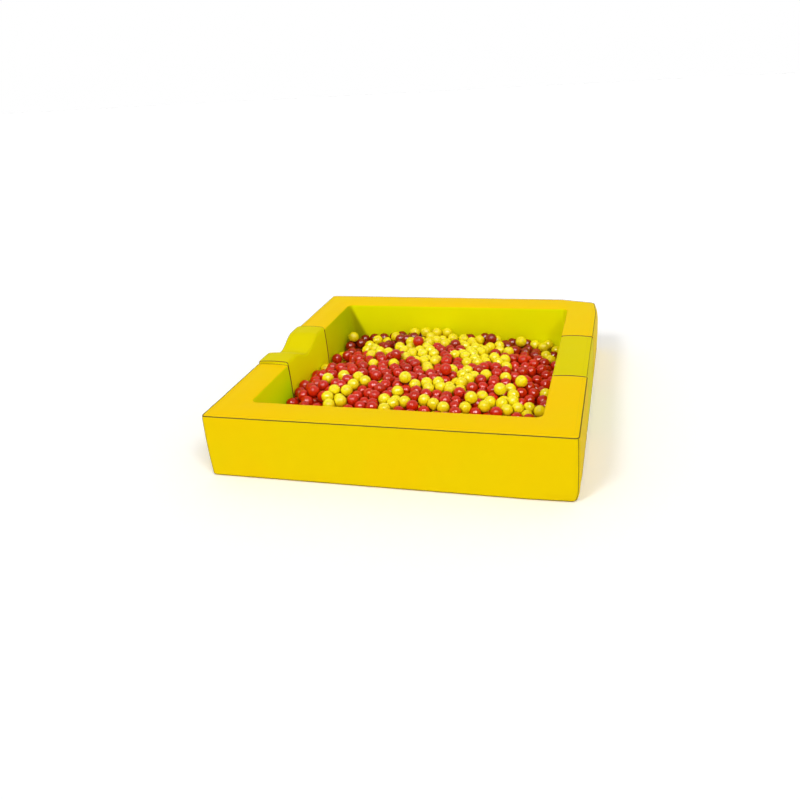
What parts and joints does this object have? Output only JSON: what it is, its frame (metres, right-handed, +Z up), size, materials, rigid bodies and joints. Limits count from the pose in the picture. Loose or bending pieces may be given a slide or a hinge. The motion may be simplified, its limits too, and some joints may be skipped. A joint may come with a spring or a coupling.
{
  "type": "ball pit",
  "caption": "Square soft-play ball pit: padded foam walls that stand on the floor, a low dip in the left side wall to climb in over, and a heap of loose play balls inside.",
  "frame": {"origin": "on the floor under the middle of the pit", "axes": "+Z up, +X to the right along the front wall, +Y from the front wall to the rear wall"},
  "size_m": [2, 2, 0.388],
  "materials": {
    "wall_vinyl": "satin coated",
    "entry_vinyl": "satin coated",
    "mat_vinyl": "satin coated",
    "foam": "open-cell foam",
    "base_fabric": "non-slip dots",
    "zip_tape": "woven tape",
    "zip_metal": "satin",
    "hook_and_loop": "brushed pile",
    "red_ball": "glossy",
    "yellow_ball": "glossy"
  },
  "bodies": {
    "pit": {"front_cover": "wall_vinyl", "front_foam_core": "foam", "front_base_panel": "base_fabric", "front_zip_tape_a": "zip_tape", "front_zip_tape_b": "zip_tape", "front_left_loop_strip": "hook_and_loop", "front_right_loop_strip": "hook_and_loop", "mat_cover": "mat_vinyl", "mat_foam_core": "foam", "mat_base_panel": "base_fabric", "mat_zip_tape_a": "zip_tape", "mat_zip_tape_b": "zip_tape", "red_ball_layer": "red_ball", "yellow_ball_layer": "yellow_ball"},
    "rear_module": {"rear_cover": "wall_vinyl", "rear_foam_core": "foam", "rear_base_panel": "base_fabric", "rear_zip_tape_a": "zip_tape", "rear_zip_tape_b": "zip_tape", "rear_left_loop_strip": "hook_and_loop", "rear_right_loop_strip": "hook_and_loop"},
    "left_entry": {"left_entry_cover": "entry_vinyl", "left_entry_foam_core": "foam", "left_entry_base_panel": "base_fabric", "left_entry_zip_tape_a": "zip_tape", "left_entry_zip_tape_b": "zip_tape", "left_entry_front_hook_strip": "hook_and_loop", "left_entry_rear_hook_strip": "hook_and_loop"},
    "right_side": {"right_side_cover": "entry_vinyl", "right_side_foam_core": "foam", "right_side_base_panel": "base_fabric", "right_side_zip_tape_a": "zip_tape", "right_side_zip_tape_b": "zip_tape", "right_side_front_hook_strip": "hook_and_loop", "right_side_rear_hook_strip": "hook_and_loop"},
    "front_slider": {"front_zip_slider": "zip_metal"},
    "rear_slider": {"rear_zip_slider": "zip_metal"},
    "left_entry_slider": {"left_entry_zip_slider": "zip_metal"},
    "right_side_slider": {"right_side_zip_slider": "zip_metal"},
    "mat_slider": {"mat_zip_slider": "zip_metal"},
    "loose_red_1": {"loose_ball_red_1": "red_ball"},
    "loose_red_2": {"loose_ball_red_2": "red_ball"},
    "loose_red_3": {"loose_ball_red_3": "red_ball"},
    "loose_red_4": {"loose_ball_red_4": "red_ball"},
    "loose_yellow_1": {"loose_ball_yellow_1": "yellow_ball"},
    "loose_yellow_2": {"loose_ball_yellow_2": "yellow_ball"},
    "loose_yellow_3": {"loose_ball_yellow_3": "yellow_ball"},
    "loose_yellow_4": {"loose_ball_yellow_4": "yellow_ball"},
    "loose_yellow_5": {"loose_ball_yellow_5": "yellow_ball"},
    "loose_yellow_6": {"loose_ball_yellow_6": "yellow_ball"}
  },
  "joints": [
    {"name": "rear_module_pull", "type": "slide", "parent": "pit", "child": "rear_module", "axis": [0, 1, 0], "range_m": [0, 0.5]},
    {"name": "left_entry_lift", "type": "slide", "parent": "pit", "child": "left_entry", "axis": [0, 0, 1], "range_m": [0, 0.4]},
    {"name": "right_side_lift", "type": "slide", "parent": "pit", "child": "right_side", "axis": [0, 0, 1], "range_m": [0, 0.4]},
    {"name": "front_zip_pull", "type": "slide", "parent": "pit", "child": "front_slider", "axis": [1, 0, 0], "range_m": [0, 1.386]},
    {"name": "rear_zip_pull", "type": "slide", "parent": "rear_module", "child": "rear_slider", "axis": [1, 0, 0], "range_m": [0, 1.386]},
    {"name": "left_entry_zip_pull", "type": "slide", "parent": "left_entry", "child": "left_entry_slider", "axis": [0, 1, 0], "range_m": [0, 0.406]},
    {"name": "right_side_zip_pull", "type": "slide", "parent": "right_side", "child": "right_side_slider", "axis": [0, 1, 0], "range_m": [0, 0.406]},
    {"name": "mat_zip_pull", "type": "slide", "parent": "pit", "child": "mat_slider", "axis": [1, 0, 0], "range_m": [0, 1.186]},
    {"name": "loose_red_1_lift", "type": "slide", "parent": "pit", "child": "loose_red_1", "axis": [0, 0, 1], "range_m": [0, 0.3]},
    {"name": "loose_red_2_lift", "type": "slide", "parent": "pit", "child": "loose_red_2", "axis": [0, 0, 1], "range_m": [0, 0.3]},
    {"name": "loose_red_3_lift", "type": "slide", "parent": "pit", "child": "loose_red_3", "axis": [0, 0, 1], "range_m": [0, 0.3]},
    {"name": "loose_red_4_lift", "type": "slide", "parent": "pit", "child": "loose_red_4", "axis": [0, 0, 1], "range_m": [0, 0.3]},
    {"name": "loose_yellow_1_lift", "type": "slide", "parent": "pit", "child": "loose_yellow_1", "axis": [0, 0, 1], "range_m": [0, 0.3]},
    {"name": "loose_yellow_2_lift", "type": "slide", "parent": "pit", "child": "loose_yellow_2", "axis": [0, 0, 1], "range_m": [0, 0.3]},
    {"name": "loose_yellow_3_lift", "type": "slide", "parent": "pit", "child": "loose_yellow_3", "axis": [0, 0, 1], "range_m": [0, 0.3]},
    {"name": "loose_yellow_4_lift", "type": "slide", "parent": "pit", "child": "loose_yellow_4", "axis": [0, 0, 1], "range_m": [0, 0.3]},
    {"name": "loose_yellow_5_lift", "type": "slide", "parent": "pit", "child": "loose_yellow_5", "axis": [0, 0, 1], "range_m": [0, 0.3]},
    {"name": "loose_yellow_6_lift", "type": "slide", "parent": "pit", "child": "loose_yellow_6", "axis": [0, 0, 1], "range_m": [0, 0.3]}
  ]
}
